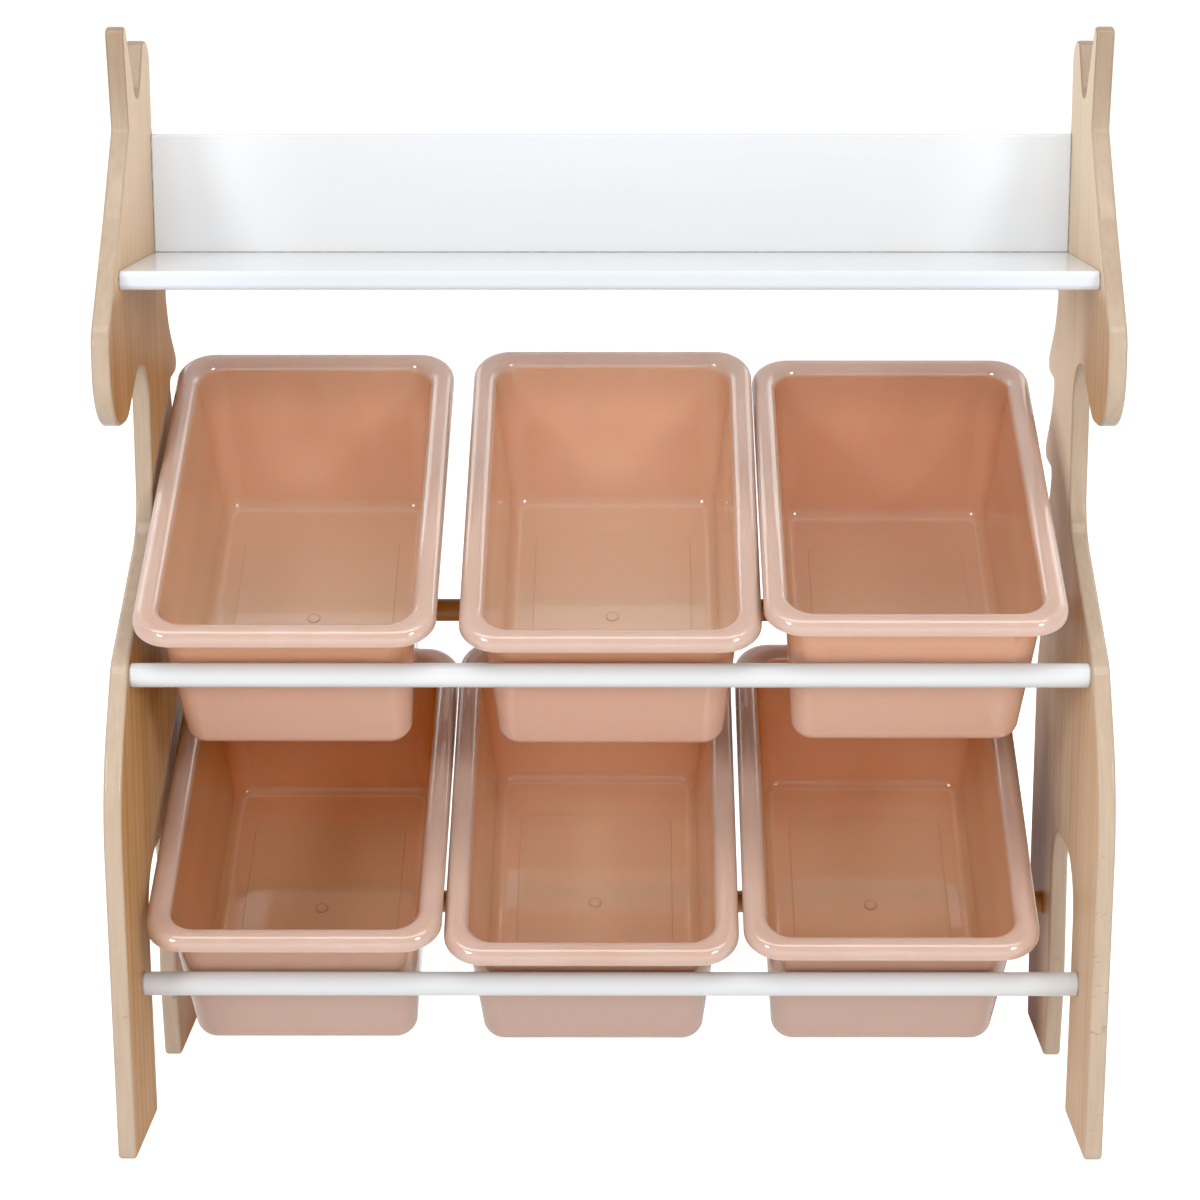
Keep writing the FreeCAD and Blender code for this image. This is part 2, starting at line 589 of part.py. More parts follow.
    # resting place: the floor on the rear rail, the front wall against the front rail
    th = math.radians(val(name + "_tilt"))
    e = (math.cos(th), math.sin(th))
    n = (-math.sin(th), math.cos(th))
    reach = val("rail_diameter") / 2.0 + val("bin_rail_gap")
    fr = (val(level + "_front_rail_y"), val(level + "_front_rail_z"))
    rr_ = (val(level + "_rear_rail_y"), val(level + "_rear_rail_z"))
    pn = rr_[0] * n[0] + rr_[1] * n[1] + depth + reach
    fe = fr[0] * e[0] + fr[1] * e[1]
    fn = fr[0] * n[0] + fr[1] * n[1]
    pe = fe + slope * (fn - pn) - val("bin_overhang") + reach * math.hypot(1.0, slope)
    y = pe * e[0] + pn * n[0]
    z = pe * e[1] + pn * n[1]
    body.Placement = FreeCAD.Placement(V(val(name + "_x"), y - YC, z),
                                       FreeCAD.Rotation(V(1, 0, 0), val(name + "_tilt")))
    doc.recompute()
    return body


for name, level, x, tilt in BINS:
    NODES.append(make_bin(name, level, x, tilt))


# ---------------------------------------------------------------- screws and dowels
def screw_body(name):
    # countersunk wood screw along +X, head at X = 0
    body = doc.addObject("PartDesign::Body", name)
    body.Label = name
    r, hr = val("screw_diameter") / 2.0, val("screw_head_diameter") / 2.0
    length = val("screw_length")
    sk = new_sketch(body, name + "_profile", "XZ_Plane")
    tip = 4.0
    p = [V(0, 0, 0), V(0, hr, 0), V(hr - r, r, 0), V(length - tip, r, 0), V(length, 0.6, 0), V(length, 0, 0)]
    for k in range(6):
        sk.addGeometry(Part.LineSegment(p[k], p[(k + 1) % 6]), False)
    close_chain(sk, 0, 6)
    sk.addConstraint(Sketcher.Constraint(COINC, 0, 1, -1, 1))
    sk.addConstraint(Sketcher.Constraint("PointOnObject", 0, 2, -2))
    sk.addConstraint(Sketcher.Constraint("Horizontal", 2))
    sk.addConstraint(Sketcher.Constraint("Vertical", 4))
    sk.addConstraint(Sketcher.Constraint("PointOnObject", 4, 2, -1))
    for kind, a, b, value, expr in (
        ("DistanceY", (-1, 1), (0, 2), hr, "$screw_head_diameter/2"),
        ("DistanceY", (-1, 1), (2, 1), r, "$screw_diameter/2"),
        ("DistanceX", (-1, 1), (2, 1), hr - r, "($screw_head_diameter-$screw_diameter)/2"),
        ("DistanceX", (-1, 1), (4, 2), length, "$screw_length"),
        ("DistanceX", (-1, 1), (2, 2), length - tip, "$screw_length-4"),
        ("DistanceY", (-1, 1), (4, 1), 0.6, "0.6"),
    ):
        c = sk.addConstraint(Sketcher.Constraint(kind, a[0], a[1], b[0], b[1], value))
        sk.setExpression("Constraints[%d]" % c, ref(expr))
    rev = body.newObject("PartDesign::Revolution", name + "_turned")
    rev.Profile = sk
    rev.ReferenceAxis = (sk, ["H_Axis"])
    rev.Angle = 360.0
    doc.recompute()
    # cross recess in the head
    for k, tag in enumerate(("upright", "level")):
        s = new_sketch(body, "%s_%s" % (name, tag), "YZ_Plane")
        a, b = val("drive_slot_length") / 2.0, val("drive_slot_width") / 2.0
        ea, eb = "$drive_slot_length/2", "$drive_slot_width/2"
        if k:
            a, b, ea, eb = b, a, eb, ea
        add_rect(s, -a, -b, a, b, ("-" + ea, "-" + eb, ea, eb))
        pocket(body, "%s_%s_slot" % (name, tag), s, "$drive_slot_depth", reverse=True)
    return body


screw = screw_body("wood_screw")
pin = doc.addObject("Part::Cylinder", "dowel_pin")
pin.setExpression("Radius", ref("$dowel_diameter/2"))
pin.setExpression("Height", ref("$dowel_length"))
doc.recompute()
dowel = doc.addObject("Part::Chamfer", "dowel_pin_chamfered")
dowel.Base = pin
dowel.Edges = [(i + 1, val("dowel_chamfer"), val("dowel_chamfer")) for i, e in enumerate(pin.Shape.Edges)
               if isinstance(e.Curve, Part.Circle)]
doc.recompute()

RECESS = val("screw_head_recess")


def moved(shape, base, rot):
    s = shape.copy()
    s.Placement = FreeCAD.Placement(base, rot)
    return s


def group(name, shapes):
    f = doc.addObject("Part::Feature", name)
    f.Label = name
    f.Shape = Part.makeCompound(shapes)
    f.Placement = FreeCAD.Placement()
    NODES.append(f)


TURN = FreeCAD.Rotation(V(0, 0, 1), 180)
SAME = FreeCAD.Rotation()
FORWARD = FreeCAD.Rotation(V(0, 0, 1), -90)
ALONG = FreeCAD.Rotation(V(0, 1, 0), 90)


def both_sides(pairs):
    out = []
    for y, z in pairs:
        yy, zz = number(y) - YC, number(z)
        out.append(moved(screw.Shape, V(-HALF + RECESS, yy, zz), SAME))
        out.append(moved(screw.Shape, V(HALF - RECESS, yy, zz), TURN))
    return out


def pins(pairs):
    out = []
    reach = INNER + val("dowel_in_panel") - val("dowel_length")
    for y, z in pairs:
        yy, zz = number(y) - YC, number(z)
        out.append(moved(dowel.Shape, V(-INNER - val("dowel_in_panel"), yy, zz), ALONG))
        out.append(moved(dowel.Shape, V(reach, yy, zz), ALONG))
    return out


group("rail_screws", both_sides(SCREWS[:4]))
group("shelf_screws", both_sides(SCREWS[4:6]))
group("back_board_screws", both_sides(SCREWS[6:]))
group("shelf_to_board_screws",
      [moved(screw.Shape, V(k * val("board_shelf_screw_x"), val("shelf_back") - YC - RECESS, number(SHELF_MID)),
             FORWARD) for k in (-1, 0, 1)])
group("shelf_dowels", pins(DOWELS[:2]))
group("back_board_dowels", pins(DOWELS[2:]))

# ---------------------------------------------------------------- check and write
doc.recompute()
for o in doc.Objects:
    if "Invalid" in o.State or "Error" in o.State:
        raise RuntimeError("%s failed: %s" % (o.Name, o.State))
box = FreeCAD.BoundBox()
for o in NODES:
    if o.Shape.isNull() or not o.Shape.isValid():
        raise RuntimeError("%s has no valid shape" % o.Label)
    if not o.Shape.Solids:
        raise RuntimeError("%s has no solid" % o.Label)
    box.add(o.Shape.BoundBox)
os.makedirs("parts", exist_ok=True)
for o in NODES:
    o.Shape.exportStep("parts/%s.step" % o.Label)
    b = o.Shape.BoundBox
    print("%-24s solids %2d volume %11.1f  x %.2f %.2f  y %.2f %.2f  z %.2f %.2f" % (
        o.Label, len(o.Shape.Solids), o.Shape.Volume, b.XMin, b.XMax, b.YMin, b.YMax, b.ZMin, b.ZMax))
print("overall x %.2f %.2f  y %.2f %.2f  z %.2f %.2f" % (box.XMin, box.XMax, box.YMin, box.YMax, box.ZMin, box.ZMax))
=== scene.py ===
import math

import bpy
import numpy as np
from mathutils import Matrix, Vector

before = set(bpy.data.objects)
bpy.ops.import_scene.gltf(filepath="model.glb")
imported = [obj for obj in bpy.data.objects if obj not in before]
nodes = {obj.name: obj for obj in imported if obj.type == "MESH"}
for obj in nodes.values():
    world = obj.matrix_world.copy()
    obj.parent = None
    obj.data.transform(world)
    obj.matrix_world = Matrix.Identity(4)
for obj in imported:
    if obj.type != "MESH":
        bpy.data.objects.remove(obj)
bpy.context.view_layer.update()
scene = bpy.context.scene

# studio light, in one place
WORLD_FRONT, WORLD_BACK = 0.42, 0.98
SIDE_POWER = 14.5
FRONT_POWER = 15.0
TOP_POWER = 21.0
BACK_POWER = 3.5
BLACK_LEVEL = 0.02
FLOOR_ALBEDO, FLOOR_GLOW = 0.5, 0.85
BOUNCE_ALBEDO, BOUNCE_GLOW = 0.6, 0.40


# ---------------------------------------------------------------- helpers

def lin(r, g, b):
    """sRGB 0-255 to linear RGBA."""
    def one(c):
        c = c / 255.0
        return c / 12.92 if c <= 0.04045 else ((c + 0.055) / 1.055) ** 2.4
    return (one(r), one(g), one(b), 1.0)


class Mat:
    """A material with a Principled shader, and short calls to build its nodes."""

    def __init__(self, name):
        self.m = bpy.data.materials.new(name)
        self.m.use_nodes = True
        self.t = self.m.node_tree
        self.t.nodes.clear()
        self.out = self.t.nodes.new("ShaderNodeOutputMaterial")
        self.p = self.t.nodes.new("ShaderNodeBsdfPrincipled")
        self.t.links.new(self.p.outputs[0], self.out.inputs[0])
        self.tc = self.t.nodes.new("ShaderNodeTexCoord")

    def set(self, **values):
        for k, v in values.items():
            self.p.inputs[k.replace("_", " ")].default_value = v

    def link(self, a, b):
        self.t.links.new(a, b)

    def to(self, socket_name, out):
        self.t.links.new(out, self.p.inputs[socket_name])

    def mapping(self, scale=(1, 1, 1), loc=(0, 0, 0), rot=(0, 0, 0), src=None):
        n = self.t.nodes.new("ShaderNodeMapping")
        n.inputs["Scale"].default_value = scale
        n.inputs["Location"].default_value = loc
        n.inputs["Rotation"].default_value = rot
        self.link(src or self.tc.outputs["Object"], n.inputs["Vector"])
        return n.outputs[0]

    def noise(self, vec, scale=1.0, detail=3.0, rough=0.5, dist=0.0):
        n = self.t.nodes.new("ShaderNodeTexNoise")
        n.inputs["Scale"].default_value = scale
        n.inputs["Detail"].default_value = detail
        n.inputs["Roughness"].default_value = rough
        n.inputs["Distortion"].default_value = dist
        self.link(vec, n.inputs["Vector"])
        return n.outputs["Fac"]

    def noise_col(self, vec, scale=1.0, detail=2.0):
        n = self.t.nodes.new("ShaderNodeTexNoise")
        n.inputs["Scale"].default_value = scale
        n.inputs["Detail"].default_value = detail
        self.link(vec, n.inputs["Vector"])
        return n.outputs["Color"]

    def voronoi(self, vec, scale=1.0, feature="F1", out="Distance", rand=1.0):
        n = self.t.nodes.new("ShaderNodeTexVoronoi")
        n.feature = feature
        n.inputs["Scale"].default_value = scale
        n.inputs["Randomness"].default_value = rand
        self.link(vec, n.inputs["Vector"])
        return n.outputs[out]

    def wave(self, vec, scale=1.0, dist=0.0, detail=2.0, dscale=1.0, direction="Y", kind="BANDS"):
        n = self.t.nodes.new("ShaderNodeTexWave")
        n.wave_type = kind
        if kind == "BANDS":
            n.bands_direction = direction
        n.inputs["Scale"].default_value = scale
        n.inputs["Distortion"].default_value = dist
        n.inputs["Detail"].default_value = detail
        n.inputs["Detail Scale"].default_value = dscale
        self.link(vec, n.inputs["Vector"])
        return n.outputs["Fac"]

    def math(self, op, a, b=None, c=None, clamp=False):
        n = self.t.nodes.new("ShaderNodeMath")
        n.operation = op
        n.use_clamp = clamp
        for i, v in enumerate((a, b, c)):
            if v is None:
                continue
            if isinstance(v, (int, float)):
                n.inputs[i].default_value = v
            else:
                self.link(v, n.inputs[i])
        return n.outputs[0]

    def vmath(self, op, a, b=None):
        n = self.t.nodes.new("ShaderNodeVectorMath")
        n.operation = op
        for i, v in enumerate((a, b)):
            if v is None:
                continue
            if isinstance(v, tuple):
                n.inputs[i].default_value = v
            else:
                self.link(v, n.inputs[i])
        return n.outputs[0]

    def dot(self, a, b):
        n = self.t.nodes.new("ShaderNodeVectorMath")
        n.operation = "DOT_PRODUCT"
        for i, v in enumerate((a, b)):
            if isinstance(v, tuple):
                n.inputs[i].default_value = v
            else:
                self.link(v, n.inputs[i])
        return n.outputs["Value"]

    def vscale(self, a, s):
        n = self.t.nodes.new("ShaderNodeVectorMath")
        n.operation = "SCALE"
        self.link(a, n.inputs[0])
        n.inputs["Scale"].default_value = s
        return n.outputs[0]

    def xyz(self, vec=None):
        n = self.t.nodes.new("ShaderNodeSeparateXYZ")
        self.link(vec or self.tc.outputs["Object"], n.inputs[0])
        return n.outputs

    def map(self, v, a, b, c=0.0, d=1.0, smooth=False):
        n = self.t.nodes.new("ShaderNodeMapRange")
        n.interpolation_type = "SMOOTHSTEP" if smooth else "LINEAR"
        n.clamp = True
        self.link(v, n.inputs["Value"])
        n.inputs["From Min"].default_value = a
        n.inputs["From Max"].default_value = b
        n.inputs["To Min"].default_value = c
        n.inputs["To Max"].default_value = d
        return n.outputs["Result"]

    def ramp(self, fac, stops, interp="LINEAR"):
        n = self.t.nodes.new("ShaderNodeValToRGB")
        n.color_ramp.interpolation = interp
        els = n.color_ramp.elements
        while len(els) < len(stops):
            els.new(0.5)
        for e, (pos, col) in zip(els, stops):
            e.position = pos
            e.color = col if len(col) == 4 else (*col, 1.0)
        self.link(fac, n.inputs[0])
        return n.outputs["Color"]

    def mix(self, fac, a, b, mode="MIX"):
        n = self.t.nodes.new("ShaderNodeMix")
        n.data_type = "RGBA"
        n.blend_type = mode
        ins = [i for i in n.inputs if i.enabled]
        fac_in = next(i for i in ins if i.name == "Factor")
        a_in = next(i for i in ins if i.name == "A")
        b_in = next(i for i in ins if i.name == "B")
        for sock, v in ((fac_in, fac), (a_in, a), (b_in, b)):
            if isinstance(v, (int, float)):
                sock.default_value = v
            elif isinstance(v, tuple):
                sock.default_value = v if len(v) == 4 else (*v, 1.0)
            else:
                self.link(v, sock)
        return next(o for o in n.outputs if o.enabled)

    def bump(self, height, strength, distance, normal=None):
        n = self.t.nodes.new("ShaderNodeBump")
        n.inputs["Strength"].default_value = strength
        n.inputs["Distance"].default_value = distance
        self.link(height, n.inputs["Height"])
        if normal is not None:
            self.link(normal, n.inputs["Normal"])
        return n.outputs[0]


# ---------------------------------------------------------------- materials

def wood(name, along, tones, edge_tone=None, coat=0.03, coat_rough=0.10, seed=0.0, contrast=1.0, scuffs=False, inner=0.0):
    """Clear-lacquered pale wood. along is the grain's axis, X, Y or Z."""
    m = Mat(name)
    obj = m.tc.outputs["Object"]
    order = {"Z": (1, 1, 0), "X": (0, 1, 1), "Y": (1, 0, 1)}[along]

    def stretch(across, along_scale):
        return tuple(across if o else along_scale for o in order)

    # slow drift of the fibres, so that no line is dead straight
    drift = m.noise_col(m.mapping(stretch(7.0, 2.2), loc=(seed, 0.3 * seed, 0.7 * seed)), 1.0, 2.0)
    drift = m.vscale(m.vmath("SUBTRACT", drift, (0.5, 0.5, 0.5)), 0.030)
    warped = m.vmath("ADD", obj, drift)

    broad = m.noise(m.mapping(stretch(22.0, 1.3), loc=(seed, seed, seed), src=warped), 1.0, 3.0, 0.55)
    bands = m.noise(m.mapping(stretch(95.0, 2.6), loc=(2 + seed, seed, 1), src=warped), 1.0, 4.0, 0.6)
    fibre = m.noise(m.mapping(stretch(640.0, 9.0), loc=(seed, 5, 3), src=warped), 1.0, 3.0, 0.65)
    pores = m.noise(m.mapping(stretch(1500.0, 36.0), loc=(3, seed, 8), src=warped), 1.0, 2.0, 0.5)
    # slow flame figure of a sliced veneer
    flame = m.wave(m.mapping(stretch(1.0, 0.085), loc=(seed, 0.11 + seed, 0), src=warped), 20.0, 5.5, 2.0, 1.4,
                   "Y" if along != "Y" else "X")
    tone = m.math("MULTIPLY", broad, 0.46)
    tone = m.math("MULTIPLY_ADD", bands, 0.34, tone)
    tone = m.math("MULTIPLY_ADD", fibre, 0.09, tone)
    tone = m.math("MULTIPLY_ADD", flame, 0.11, tone)
    tone = m.map(tone, 0.5 - 0.25 / contrast, 0.5 + 0.25 / contrast)
    face = m.ramp(tone, [(0.0, tones[0]), (0.45, tones[1]), (1.0, tones[2])])
    # fine darker pores, short and sparse
    pore = m.map(pores, 0.66, 0.76, 0.0, 0.30 * contrast)
    face = m.mix(pore, face, tones[0], "MULTIPLY")

    if inner:
        # painted light and shade by place, set to the photo: paler at the head, darker low down inside
        place = m.xyz()
        # painted light: the inner face paler towards the head
        face = m.mix(m.map(place["Z"], 0.50, 0.66, 0.0, 0.55, True), face, lin(226, 210, 190))
        # the inner face takes the painted tones, the outer face the wood's own
        inside = m.map(m.math("MULTIPLY", m.xyz(m.tc.outputs["Normal"])["X"], inner), 0.3, 0.8)
        outer = m.ramp(tone, [(0.0, OUTER[0]), (0.45, OUTER[1]), (1.0, OUTER[2])])
        face = m.mix(inside, m.mix(pore, outer, OUTER[0], "MULTIPLY"), face)
        # painted shade on the inner face towards the back and low down
        deep_tone_and_shade = m.math("MULTIPLY", m.map(place["Y"], 0.00, 0.09, 0.0, 1.0, True), m.map(place["Z"], 0.40, 0.12, 0.0, 0.75, True))
        face = m.mix(m.math("MULTIPLY", deep_tone_and_shade, inside), face, lin(196, 150, 112), "MULTIPLY")
        # painted shade on the inner face just under the shelf, on the right panel only towards its forward edge
        under = m.math("MULTIPLY", m.map(place["Z"], 0.572, 0.562), m.map(place["Z"], 0.42, 0.50, 0.0, 0.9, True))
        if inner < 0:
            under = m.math("MULTIPLY", under, m.map(place["Y"], -0.02, -0.07, 0.0, 1.0, True))
            # painted shade on the right panel's rear leg, low down
            low = m.math("MULTIPLY", m.map(place["Y"], 0.03, 0.09, 0.0, 1.0, True), m.map(place["Z"], 0.26, 0.14, 0.0, 0.9, True))
            face = m.mix(m.math("MULTIPLY", low, inside), face, lin(158, 120, 92), "MULTIPLY")
            # painted light: the right panel's inner face paler near its forward edge, below the shelf
            painted_light_neck = m.math("MULTIPLY", m.map(place["Y"], -0.06, -0.02, 0.0, 1.0, True), m.map(place["Z"], 0.28, 0.36, 0.0, 0.85, True))
            painted_light_neck = m.math("MULTIPLY", painted_light_neck, m.map(place["Z"], 0.56, 0.48, 0.25, 1.0, True))
            painted_light_neck = m.math("MULTIPLY", painted_light_neck, m.map(place["Z"], 0.60, 0.575))
            face = m.mix(m.math("MULTIPLY", painted_light_neck, inside), face, lin(236, 218, 196))
        face = m.mix(m.math("MULTIPLY", under, inside), face, lin(226, 214, 204), "MULTIPLY")
        # painted shade on the inner face near the floor
        shade_near_floor = m.map(place["Z"], 0.24, 0.06, 0.0, 0.5, True)
        face = m.mix(m.math("MULTIPLY", shade_near_floor, inside), face, lin(226, 216, 214), "MULTIPLY")

    if edge_tone:
        nrm = m.xyz(m.tc.outputs["Normal"])
        flat = m.math("ABSOLUTE", nrm["X"])
        is_edge = m.map(flat, 0.985, 0.90, 0.0, 1.0, True)
        cut = m.noise(m.mapping((260.0, 120.0, 22.0), loc=(seed, 1, 4)), 1.0, 4.0, 0.6)
        blotch = m.noise(m.mapping((9.0, 9.0, 7.0), loc=(4, seed, 2)), 1.0, 3.0, 0.5)
        e = m.math("MULTIPLY_ADD", cut, 0.45, m.math("MULTIPLY", blotch, 0.55))
        edge = m.ramp(m.map(e, 0.32, 0.68), [(0.0, edge_tone[0]), (0.5, edge_tone[1]), (1.0, edge_tone[2])])
        # painted shade: the edges a little darker above the shelf's height, more at the top of the head
        edge = m.mix(m.map(m.xyz()["Z"], 0.655, 0.70, 0.0, 0.9, True), edge, lin(230, 226, 220), "MULTIPLY")
        edge = m.mix(m.map(m.xyz()["Z"], 0.38, 0.50, 0.0, 1.0, True), edge, lin(244, 243, 242), "MULTIPLY")
        face = m.mix(is_edge, face, edge)
        m.to("Coat Weight", m.map(flat, 0.90, 0.45, coat, 0.55, True))
        if scuffs:
            # a few small rubs and nicks, on the rounded edges low down
            z = m.xyz()["Z"]
            low = m.map(z, 0.34, 0.10, 0.0, 1.0, True)
            cell = m.noise(m.mapping((70.0, 150.0, 210.0), loc=(seed, 7, 2)), 1.0, 2.0, 0.5, 1.5)
            nick = m.map(cell, 0.685, 0.715)
            nick = m.math("MULTIPLY", m.math("MULTIPLY", nick, low), is_edge)
            face = m.mix(m.math("MULTIPLY", nick, 0.32), face, lin(120, 96, 74))
    m.to("Base Color", face)

    haze = m.noise(m.mapping((16.0, 16.0, 16.0), loc=(1, seed, 3)), 1.0, 4.0, 0.6)
    rough = m.math("MULTIPLY_ADD", fibre, 0.10, m.map(haze, 0.3, 0.7, 0.40, 0.52))
    m.to("Roughness", rough)
    height = m.math("MULTIPLY_ADD", pores, 0.4, m.math("MULTIPLY", fibre, 0.6))
    m.to("Normal", m.bump(height, 0.10, 0.00025))
    m.set(Coat_Weight=coat, Coat_Roughness=coat_rough, Coat_IOR=1.5, IOR=1.5, Specular_IOR_Level=0.12)
    return m.m


def white_lacquer(name, along="X", joints=(), tone_shift=0, coat=0.25, front_shade=None, painted_light_ends=None, last_y=1.0):
    """White sprayed lacquer over board or rod: faint orange peel, faint cloudiness, shadow lines where it meets
    another piece. joints: (axis, place, width, depth, mirrored), metres, and last_y, how far back they reach."""
    m = Mat(name)
    cloud = m.noise(m.mapping((3.0, 6.0, 6.0)), 1.0, 4.0, 0.55)
    streak = m.noise(m.mapping((6.0, 240.0, 240.0) if along == "X" else (240.0, 6.0, 240.0)), 1.0, 3.0, 0.6)
    tone = m.math("MULTIPLY_ADD", streak, 0.25, m.math("MULTIPLY", cloud, 0.75))
    col = m.ramp(m.map(tone, 0.34, 0.66), [(0.0, lin(202 + tone_shift, 204 + tone_shift, 206 + tone_shift)),
                                         (0.5, lin(204 + tone_shift, 206 + tone_shift, 208 + tone_shift)),
                                         (1.0, lin(206 + tone_shift, 208 + tone_shift, 209 + tone_shift))])
    if along == "X" and painted_light_ends:
        # painted light: paler towards each end, set to the photo
        col = m.mix(m.map(m.math("ABSOLUTE", m.xyz()["X"]), 0.19, 0.31, 0.0, 1.0, True), col, painted_light_ends)
    if front_shade:
        # painted shade: the edge facing forward darker, set to the photo
        facing = m.map(m.xyz(m.tc.outputs["Normal"])["Y"], -0.35, -0.85, 0.0, 1.0, True)
        col = m.mix(facing, col, front_shade, "MULTIPLY")
    uneven = m.noise(m.mapping((160.0, 160.0, 160.0), loc=(5, 2, 7)), 1.0, 2.0, 0.5)
    for axis, place, width, depth, mirrored in joints:
        c = m.xyz()[axis]
        if mirrored:
            c = m.math("ABSOLUTE", c)
        gap = m.math("ABSOLUTE", m.math("SUBTRACT", c, place))
        line = m.math("MULTIPLY", m.map(gap, width, 0.25 * width, 0.0, depth, True), m.map(uneven, 0.2, 0.6, 0.55, 1.0))
        line = m.math("MULTIPLY", line, m.map(m.xyz()["Y"], last_y, last_y - 0.002))
        col = m.mix(line, col, lin(112, 98, 84))
    m.to("Base Color", col)
    peel = m.noise(m.mapping((420.0, 420.0, 420.0)), 1.0, 2.0, 0.5)
    haze = m.noise(m.mapping((14.0, 14.0, 14.0), loc=(2, 5, 1)), 1.0, 4.0, 0.6)
    m.to("Roughness", m.map(haze, 0.3, 0.7, 0.30, 0.33))
    h = m.math("MULTIPLY_ADD", streak, 0.5, m.math("MULTIPLY", peel, 0.5))
    m.to("Normal", m.bump(h, 0.05, 0.0002))
    m.set(Coat_Weight=coat, Coat_Roughness=0.12, IOR=1.5, Specular_IOR_Level=0.4)
    return m.m


def plastic(name, seed, centre, along, up, floor_depth, deep_tone_and_shade, body_tone_and_shade, shade):
    """Gloss injection-moulded plastic that lets some light through: soft flow clouds, fine unevenness, rubbed
    spots and hair scratches."""
    m = Mat(name)
    flow = m.noise(m.mapping((9.0, 5.0, 5.0), loc=(seed, 0.5 * seed, 0.2 * seed)), 1.0, 3.0, 0.5, 0.6)
    fine = m.noise(m.mapping((60.0, 22.0, 22.0), loc=(seed, 1, 2)), 1.0, 3.0, 0.5)
    tone = m.math("MULTIPLY_ADD", fine, 0.3, m.math("MULTIPLY", flow, 0.7))
    col = m.ramp(m.map(tone, 0.32, 0.68), [(0.0, lin(*(c - 4 for c in deep_tone_and_shade))), (0.5, lin(*deep_tone_and_shade)), (1.0, lin(*(c + 4 for c in deep_tone_and_shade)))])
    skin = m.ramp(m.map(tone, 0.32, 0.68), [(0.0, lin(193, 167, 153)), (0.5, lin(196, 171, 158)), (1.0, lin(199, 175, 163))])
    # painted light and shade, set to the photo: the rim and the outside paler, the inside darker
    out = m.vmath("SUBTRACT", m.tc.outputs["Object"], centre)
    inward = m.dot(m.tc.outputs["Normal"], out)
    depth = m.dot(out, up)
    inside = m.math("MULTIPLY", m.map(inward, 0.002, -0.012, 0.0, 1.0, True), m.map(depth, 0.0060, 0.0042, 0.0, 1.0, True))
    # painted light: the floor inside, facing up, paler
    facing_up = m.dot(m.tc.outputs["Normal"], up)
    col = m.mix(m.map(facing_up, 0.70, 0.97, 0.0, 1.0, True), col, lin(deep_tone_and_shade[0] + 7, deep_tone_and_shade[1] + 13, deep_tone_and_shade[2] + 16))
    # painted light on the tray's raised edge, over its shaded line
    lit_tray_step = m.math("MULTIPLY", m.map(depth, floor_depth + 0.0010, floor_depth + 0.0008), m.map(facing_up, 0.97, 0.85))
    col = m.mix(m.math("MULTIPLY", lit_tray_step, 0.7), col, lin(244, 226, 210))
    # painted shade by place: darker on the side walls and near the mouth; painted light: paler low down
    shaded_sides = m.map(m.math("ABSOLUTE", m.xyz(m.tc.outputs["Normal"])["X"]), 0.60, 0.95, 0.0, 0.35, True)
    col = m.mix(shaded_sides, col, lin(249, 234, 217), "MULTIPLY")
    col = m.mix(m.map(depth, -0.040, 0.000, 0.0, 1.0, True), col, lin(242, 237, 235), "MULTIPLY")
    col = m.mix(m.map(depth, -0.045, -0.085, 0.0, 0.35, True), col, lin(deep_tone_and_shade[0] + 8, deep_tone_and_shade[1] + 18, deep_tone_and_shade[2] + 20))
    # tone of the outside below the rim, set apart from the rim's; darker on the lower bins, painted shade
    skin = m.mix(m.map(depth, -0.004, -0.010), skin, body_tone_and_shade)
    # painted shade: deeper colour in the band under the rim, set to the photo
    shaded = m.math("MULTIPLY", m.map(depth, 0.0000, -0.0030), m.map(depth, -0.048, -0.014, 0.0, shade, True))
    skin = m.mix(shaded, skin, lin(204, 152, 114))
    col = m.mix(inside, skin, col)
    # ring of the moulding mark in the middle of the floor
    ax, al = m.xyz(out)["X"], m.dot(out, along)
    ring = m.math("SQRT", m.math("ADD", m.math("MULTIPLY", ax, ax), m.math("MULTIPLY", al, al)))
    ring = m.math("ABSOLUTE", m.math("SUBTRACT", ring, 0.0042))
    ring = m.map(ring, 0.0013, 0.0003, 0.0, 0.45, True)
    col = m.mix(ring, col, lin(214, 196, 190), "MULTIPLY")
    m.to("Base Color", col)
    smudge = m.noise(m.mapping((18.0, 18.0, 18.0), loc=(seed, 3, 5)), 1.0, 4.0, 0.6)
    scratch = m.noise(m.mapping((900.0, 30.0, 30.0), loc=(seed, 4, 1), rot=(0.3, 0.2, 0.5)), 1.0, 2.0, 0.5)
    r = m.map(smudge, 0.3, 0.7, 0.045, 0.085)
    m.to("Roughness", m.math("MULTIPLY_ADD", m.map(scratch, 0.68, 0.76), 0.06, r))
    swell = m.noise(m.mapping((26.0, 26.0, 26.0), loc=(2, seed, 6)), 1.0, 2.0, 0.5)
    peel = m.noise(m.mapping((520.0, 520.0, 520.0)), 1.0, 2.0, 0.5)
    m.to("Normal", m.bump(peel, 0.015, 0.0001, m.bump(swell, 0.05, 0.0005)))
    m.set(IOR=1.5, Specular_IOR_Level=1.0, Subsurface_Weight=1.0, Subsurface_Radius=(1.0, 0.72, 0.52),
          Subsurface_Scale=0.004)
    return m.m


def steel(name):
    m = Mat(name)
    brush = m.noise(m.mapping((900.0, 120.0, 120.0)), 1.0, 3.0, 0.6)
    m.to("Base Color", m.ramp(m.map(brush, 0.3, 0.7), [(0.0, lin(170, 170, 172)), (1.0, lin(206, 205, 203))]))
    m.to("Roughness", m.map(brush, 0.3, 0.7, 0.22, 0.38))
    m.to("Normal", m.bump(brush, 0.05, 0.0001))
    m.set(Metallic=1.0)
    return m.m


